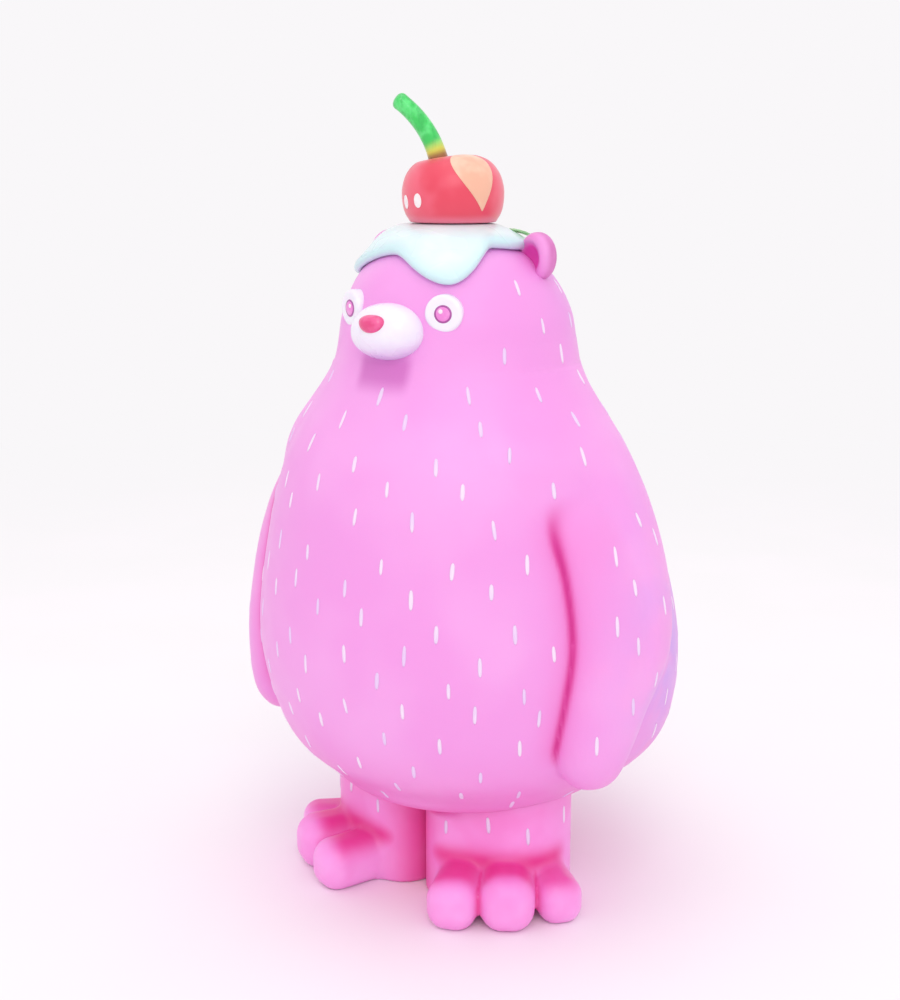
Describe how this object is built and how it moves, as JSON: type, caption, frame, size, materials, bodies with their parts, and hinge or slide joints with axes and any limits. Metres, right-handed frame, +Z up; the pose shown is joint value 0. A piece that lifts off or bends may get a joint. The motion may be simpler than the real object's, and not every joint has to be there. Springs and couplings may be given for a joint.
{
  "type": "vinyl art toy figure",
  "caption": "Standing pear-shaped vinyl bear figure with an icing cap and a cherry on its head, and legs that swivel.",
  "frame": {"origin": "centre of the bounding box's footprint, on the surface that the feet stand on", "axes": "+Z up along the figure's height, the face looks along -Y, the figure's own left side is +X"},
  "size_m": [0.1318, 0.1211, 0.2207],
  "materials": {
    "body_vinyl": "soft satin vinyl, sprayed darker in the creases",
    "white_vinyl": "satin white vinyl",
    "nose_vinyl": "glossy raspberry",
    "icing_vinyl": "smooth, pale mint white",
    "leaf_vinyl": "satin pale green",
    "cherry_vinyl": "glossy cherry red",
    "stem_vinyl": "glossy bright green"
  },
  "bodies": {
    "torso": {"body_shell": "body_vinyl", "left_ear": "body_vinyl", "right_ear": "body_vinyl", "left_eye": "white_vinyl", "right_eye": "white_vinyl", "muzzle": "white_vinyl", "nose": "nose_vinyl", "icing_cap": "icing_vinyl", "mint_leaf": "leaf_vinyl"},
    "left_leg": {"left_leg": "body_vinyl"},
    "right_leg": {"right_leg": "body_vinyl"},
    "cherry": {"cherry": "cherry_vinyl", "cherry_stem": "stem_vinyl"}
  },
  "joints": [
    {"name": "left_leg_swivel", "type": "hinge", "parent": "torso", "child": "left_leg", "pos_m": [0.019, -0.0085, 0.033], "axis": [0, 0, 1], "range_deg": [0, 60]},
    {"name": "right_leg_swivel", "type": "hinge", "parent": "torso", "child": "right_leg", "pos_m": [-0.019, -0.0085, 0.033], "axis": [0, 0, -1], "range_deg": [0, 60]},
    {"name": "cherry_turn", "type": "hinge", "parent": "torso", "child": "cherry", "pos_m": [0, -0.0085, 0.187], "axis": [0, 0, 1], "continuous": true}
  ]
}
